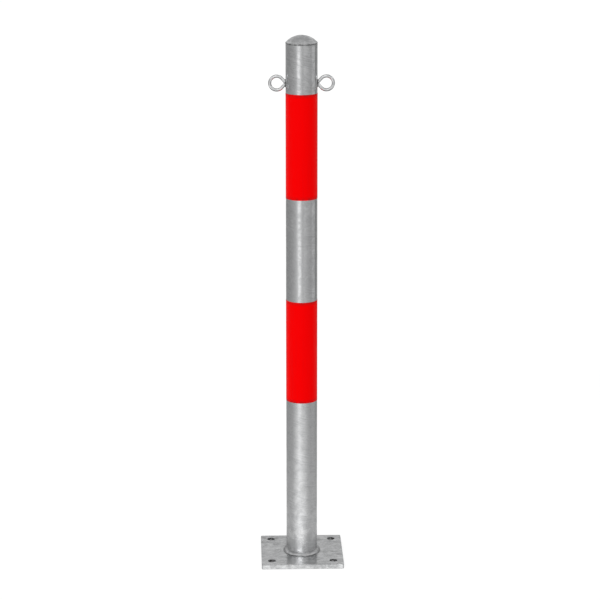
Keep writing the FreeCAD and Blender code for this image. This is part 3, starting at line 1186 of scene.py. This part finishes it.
@dataclass
class ChainEye:
    """A teardrop of round bar, its legs mitred together at the tube, and the weld round their root."""

    side: Side
    tube_radius: float
    middle: float
    height: float
    bar: float = 3.0 * MM
    sides: int = 40
    bend: float = 13.0 * MM
    bend_start: float = -9.0
    bend_steps: int = 49
    leg_shares: tuple[float, ...] = (0.25, 0.5, 0.75, 1.0, 1.5)
    root_depth: float = 0.8 * MM
    buried: float = 1.25 * MM
    weld_reach: float = 2.4 * MM
    weld_half_width: float = 4.8 * MM
    weld_half_height: float = 7.5 * MM
    weld_skirt: float = 0.6 * MM
    weld_root: float = 1.2 * MM
    weld_rows: int = 14
    weld_sides: int = 48
    ripple_height: float = 0.14 * MM
    ripple_length: float = 0.42 * MM
    ripple_bow: float = 1.9 * MM
    sharp: float = 60.0
    # Painted darker edges on the bar's sides, and painted shade at its root
    side_shade: float = 0.45
    root_shade: Mark = Mark(0.8, 1.1 * MM)

    @classmethod
    def from_frame(cls, side: Side) -> "ChainEye":
        """Take the eye's place from its node.

        Args:
            side: Which eye.

        Returns:
            The eye.
        """
        low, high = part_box(f"{side.name.lower()}_chain_eye")
        tip = max(abs(low.x), abs(high.x))
        return cls(side=side, tube_radius=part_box("post_tube")[1].x, middle=tip - cls.bend - cls.bar,
                   height=(low.z + high.z) / 2)

    def path(self) -> list[Vector]:
        """Middle line of the bar's upper half, from just below the tip to just past the mitre.

        Returns:
            The points, in the right eye's own place.
        """
        root = self.tube_radius - self.root_depth
        lean = math.degrees(math.acos(self.bend / (self.middle - root)))
        curve = arc((self.middle, 0.0), self.bend, self.bend_start, 180.0 - lean, self.bend_steps)
        end = Vector(curve[-1])
        leg = [end + (Vector((root, 0.0)) - end) * share for share in self.leg_shares]
        return [Vector((x, 0.0, z)) for x, z in [*curve, *leg]]

    def halve(self, mesh: bpy.types.Mesh) -> None:
        """Cut the bar at its mitre and inside the tube's wall, and mirror it to a whole eye.

        Args:
            mesh: The swept bar, which is changed.
        """
        edit = bmesh.new()
        edit.from_mesh(mesh)
        for place, keep in (((0, 0, 0), (0, 0, 1)), ((self.tube_radius - self.buried, 0, 0), (1, 0, 0))):
            everything = [*edit.verts, *edit.edges, *edit.faces]
            bmesh.ops.bisect_plane(edit, geom=everything, plane_co=place, plane_no=keep, clear_inner=True)
        upper = [*edit.verts, *edit.edges, *edit.faces]
        twin = bmesh.ops.duplicate(edit, geom=upper)["geom"]
        for vertex in twin:
            if isinstance(vertex, bmesh.types.BMVert):
                vertex.co.z = -vertex.co.z
        bmesh.ops.remove_doubles(edit, verts=edit.verts, dist=HAIR)
        bmesh.ops.holes_fill(edit, edges=[edge for edge in edit.edges if edge.is_boundary], sides=0)
        edit.to_mesh(mesh)
        edit.free()

    def placed(self, mesh: bpy.types.Mesh) -> bpy.types.Mesh:
        """Put a mesh of the right eye in its place, or turn it to the left one."""
        mesh.transform(Matrix.Translation((0, 0, self.height)) @ Matrix.Rotation(self.side.value, 4, "Z"))
        return mesh

    def weld(self) -> Draft:
        """Make the weld as a lump moulded to the tube, rippled from one end to the other.

        Returns:
            The mesh in the making, in the right eye's own place.
        """
        draft = Draft()
        rows = []
        for i in range(self.weld_rows + 1):
            share = math.sin(math.pi / 2 * i / self.weld_rows)
            rise = self.weld_reach * math.sqrt(max(0.0, 1 - share ** 2))
            ring = []
            for j in range(self.weld_sides if i else 1):
                angle = TURN * j / self.weld_sides
                y = self.weld_half_width * share * math.cos(angle)
                z = self.weld_half_height * share * math.sin(angle)
                ripple = math.sin(z / self.ripple_length + (y / self.ripple_bow) ** 2) * (1 - share ** 4)
                out = math.sqrt(self.tube_radius ** 2 - y * y) + rise + self.ripple_height * ripple
                ring.append(Vector((out, y, z)))
            rows.append(draft.add(ring))
        skirt = Vector((self.weld_skirt, 0, 0))
        rows.append(draft.add([draft.points[number] - skirt for number in rows[-1]]))
        rows.append(draft.add([Vector((self.tube_radius - self.weld_root, 0, 0))]))
        draft.cover(rows)
        return draft

    def soil(self, point: Vector) -> float:
        """Painted shade where the bar meets the tube, and painted darker edges along the bar's sides."""
        sides = self.side_shade * max(0.0, 1.0 - (point.y / self.bar) ** 2)
        return sides + self.root_shade.at(abs(point.x) - self.tube_radius)

    def build(self) -> None:
        """Make the bar and its weld, and dress them."""
        side = self.side.name.lower()
        mesh = grow(f"{side}_eye_bar", Sweep.BAR, self.path(), {
            "Radius": self.bar, "Sides": self.sides, "Material": BAR_ZINC.material()})
        self.halve(mesh)
        bar = new_object(f"{side}_eye_bar", self.placed(mesh), self.sharp)
        dress(bar, f"{side}_chain_eye", BAR_ZINC, self.soil)
        lump = self.weld().piece(f"{side}_eye_bead", self.sharp)
        self.placed(lump.data)
        dress(lump, f"{side}_eye_weld", WELD_ZINC, self.soil)


@dataclass
class RedBand:
    """A red film wrapped round the tube, its end lapped over its start at the back. Angles are in degrees."""

    level: Level
    tube_radius: float
    foot: float
    top: float
    film: float = 0.25 * MM
    lap: float = 12.0 * MM
    lap_step: float = 1.5
    lap_ramp: float = 4.0
    edge: float = 0.06 * MM
    row_step: float = 8.0 * MM
    start: float = 90.0
    segments: int = 240
    edge_soil: Mark = Mark(0.5, 0.5 * MM)
    lap_soil: Mark = Mark(0.4, 0.5)

    @classmethod
    def from_frame(cls, level: Level) -> "RedBand":
        """Take the band's place from its node."""
        low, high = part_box(f"{level.value}_red_band")
        return cls(level=level, tube_radius=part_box("post_tube")[1].x, foot=low.z, top=high.z)

    def section(self) -> list[Span]:
        """Outline of the film's cut face.

        Returns:
            Its points, out from the tube and up.
        """
        rows = steps(self.foot + self.edge, self.top - self.edge, self.row_step)
        outer = [(self.film, height) for height in rows]
        face = [(self.film - self.edge, self.foot), *outer, (self.film - self.edge, self.top)]
        return [(0.0, self.foot), *face, (0.0, self.top)]

    def lapped(self) -> float:
        """How far round the lap goes."""
        return math.degrees(self.lap / self.tube_radius)

    def soil(self, point: Vector) -> float:
        """Soil along the film's upper, lower and lapped edges."""
        past_end = bearing_of(point) - self.start - self.lapped()
        return self.edge_soil.at(min(point.z - self.foot, self.top - point.z)) + self.lap_soil.at(past_end)

    def build(self) -> None:
        """Wrap the film and dress it."""
        round_once = [360.0 * i / self.segments for i in range(self.segments + 1)]
        draft = Draft()
        rows = []
        for bearing in round_once + steps(360.0, 360.0 + self.lapped(), self.lap_step)[1:]:
            inner = self.tube_radius + self.film * held((bearing - 360.0 + self.lap_ramp) / self.lap_ramp)
            angle = math.radians(self.start + bearing)
            rows.append(draft.add(polar(inner + out, angle, height) for out, height in self.section()))
        draft.cover(rows)
        draft.faces += [tuple(rows[0]), tuple(rows[-1])]
        dress(draft.piece(f"{self.level.value}_film"), f"{self.level.value}_red_band", RED_FILM, self.soil)


# Studio


@dataclass(frozen=True)
class Panel:
    """A soft panel of light, or a dark flag, round the post.

    Angles are in degrees, bearings from the front to the right.
    """

    bearing: float
    half_width: float
    softness: float
    level: float
    lowest: float = -UPRIGHT
    highest: float = UPRIGHT
    fade: float = 5.0

    @classmethod
    def ring(cls, level: float, **heights: float) -> "Panel":
        """Make a panel that goes all the way round."""
        return cls(0.0, 180.0, 1.0, level, **heights)

    def shine(self, graph: Graph, bearing: Socket, height: Socket) -> Socket:
        """Work out how much the panel adds to the light from a direction.

        Args:
            graph: The world's graph.
            bearing: Bearing of the direction, in radians.
            height: Its height over the horizon, in radians.

        Returns:
            The panel's share of the light.
        """
        off = graph.math("SUBTRACT", bearing, math.radians(self.bearing))
        aside = graph.math("ABSOLUTE", graph.math("WRAP", off, math.pi, -math.pi))
        inner, outer = math.radians(self.half_width), math.radians(self.half_width + self.softness)
        shine = graph.spread(aside, (inner, outer), (self.level, 0.0))
        half = math.radians(self.fade) / 2
        for end, shares in ((self.lowest, (0.0, 1.0)), (self.highest, (1.0, 0.0))):
            if abs(end) < UPRIGHT:
                faded = (math.radians(end) - half, math.radians(end) + half)
                shine = graph.math("MULTIPLY", shine, graph.spread(height, faded, shares))
        return shine


@dataclass
class Studio:
    """Pale floor, soft light from all round, and the camera. Lengths are in metres, angles in degrees."""

    floor_size: float = 40.0
    distance: float = 3.8799
    height: float = 1.4967
    azimuth: float = -1.709
    yaw: float = 0.038
    pitch: float = 14.137
    roll: float = 0.036
    lens: float = 124.964
    sensor: float = 36.0
    white: float = 1.0
    room: float = 0.37
    panels: tuple[Panel, ...] = (
        Panel(180.0, 20.0, 15.0, 0.12, highest=8.0),
        Panel(180.0, 60.0, 30.0, -0.17, lowest=42.0),
        Panel.ring(-0.16, highest=-36.0, fade=12.0),
        Panel.ring(0.7, lowest=21.0, highest=40.0, fade=20.0),
        Panel(-22.0, 7.0, 8.0, 0.52, lowest=-10.0, highest=4.0),
        Panel(-16.5, 7.0, 8.0, 0.66, lowest=-15.6, highest=-10.0),
        Panel(-9.0, 4.0, 95.0, 0.25, lowest=-15.6),
        Panel(-32.0, 3.0, 12.0, 0.1, lowest=-15.6),
        Panel(8.0, 3.0, 6.0, -0.1, lowest=-15.6, highest=4.0),
        Panel(45.0, 25.0, 30.0, 0.05, lowest=-15.6),
        Panel(96.0, 13.0, 8.0, 0.2, lowest=-15.6),
        Panel(121.0, 6.0, 4.0, -0.13, lowest=-15.6),
        Panel(-12.5, 5.0, 60.0, 0.66, lowest=-34.0, highest=-17.0),
        Panel.ring(0.18, lowest=-30.0, highest=-19.0, fade=3.0),
        Panel.ring(0.1, lowest=55.0, fade=20.0),
        Panel(-14.0, 40.0, 45.0, 0.1, lowest=-34.0, highest=-18.7, fade=2.0),
        Panel.ring(0.3, lowest=-36.0, highest=-21.8, fade=4.0),
        Panel(-16.0, 12.0, 18.0, 0.35, lowest=16.5, highest=28.0),
        Panel(-14.0, 8.0, 14.0, 0.55, lowest=30.0, highest=72.0, fade=10.0),
    )
    corner_panels: tuple[Panel, ...] = (
        Panel(-23.0, 8.0, 28.0, 1.9, lowest=15.0, highest=30.0),
        Panel(-15.0, 12.0, 22.0, 3.8, lowest=46.0, highest=88.0),
    )
    once_mirrored: float = 1.5
    soft_room: float = 0.46
    soft_panels: tuple[Panel, ...] = (
        Panel(-24.0, 25.0, 105.0, 0.6),
        Panel(165.0, 40.0, 60.0, 0.2),
    )

    def lay_floor(self) -> None:
        """Lay the floor, which the post stands on but isn't lit by."""
        half = self.floor_size / 2
        corners = [(-half, -half, 0), (half, -half, 0), (half, half, 0), (-half, half, 0)]
        mesh = bpy.data.meshes.new("studio_floor")
        mesh.from_pydata(corners, [], [(0, 1, 2, 3)])
        mesh.materials.append(FloorFinish().material())
        floor = bpy.data.objects.new("studio_floor", mesh)
        bpy.context.scene.collection.objects.link(floor)
        floor.visible_glossy = False
        floor.visible_diffuse = False

    def light(self) -> None:
        """Light the studio: white for the view, soft for dull faces, and in panels for what mirrors them."""
        world = bpy.data.worlds.new("studio_light")
        bpy.context.scene.world = world
        world.use_nodes = True
        world.cycles.sampling_method = "NONE"
        world.node_tree.nodes.clear()
        graph = Graph(world.node_tree)
        direction = graph.add("ShaderNodeTexCoord").outputs["Generated"]
        x, y, z = graph.add("ShaderNodeSeparateXYZ", {0: direction}).outputs
        bearing = graph.math("ARCTAN2", x, graph.math("MULTIPLY", y, -1.0))
        height = graph.math("ARCSINE", z)
        mirrors, corners, soft = ([panel.shine(graph, bearing, height) for panel in panels]
                                  for panels in (self.panels, self.corner_panels, self.soft_panels))
        path = graph.add("ShaderNodeLightPath").outputs
        # Corners of the metal mirror it twice, and get panels of their own
        twice = graph.math("GREATER_THAN", path["Glossy Depth"], self.once_mirrored)
        corners = [graph.math("MULTIPLY", twice, shine) for shine in corners]
        mirrored = graph.total([self.room, *mirrors, *corners])
        lit = graph.choose(path["Is Diffuse Ray"], mirrored, graph.total([self.soft_room, *soft]))
        seen = graph.choose(path["Is Camera Ray"], lit, self.white)
        shine = graph.out("ShaderNodeBackground", {"Color": seen, "Strength": 1.0})
        graph.add("ShaderNodeOutputWorld", {"Surface": shine})

    def set_camera(self) -> None:
        """Stand the camera where the photograph was taken from."""
        data = bpy.data.cameras.new("studio_camera")
        data.sensor_width = self.sensor
        data.lens = self.lens
        camera = bpy.data.objects.new("studio_camera", data)
        bpy.context.scene.collection.objects.link(camera)
        stand, look = math.radians(self.azimuth), math.radians(self.azimuth + self.yaw)
        camera.location = (math.sin(stand) * self.distance, -math.cos(stand) * self.distance, self.height)
        camera.rotation_euler = (math.pi / 2 - math.radians(self.pitch), math.radians(self.roll), look)
        bpy.context.scene.camera = camera

    def build(self) -> None:
        """Set up the floor, the light and the camera."""
        self.lay_floor()
        self.light()
        self.set_camera()
        bpy.context.scene.view_settings.view_transform = "Standard"


def main() -> None:
    """Build the post and its studio, in order."""
    logging.basicConfig(level=logging.INFO, format="%(message)s")
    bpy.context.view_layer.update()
    pieces = [
        FootPlate.from_frame(),
        PostTube.from_frame(),
        FootWeld.from_frame(),
        DomedCap.from_frame(),
        *(ChainEye.from_frame(side) for side in Side),
        *(RedBand.from_frame(level) for level in Level),
        Studio(),
    ]
    for piece in pieces:
        piece.build()


if __name__ == "__main__":
    main()
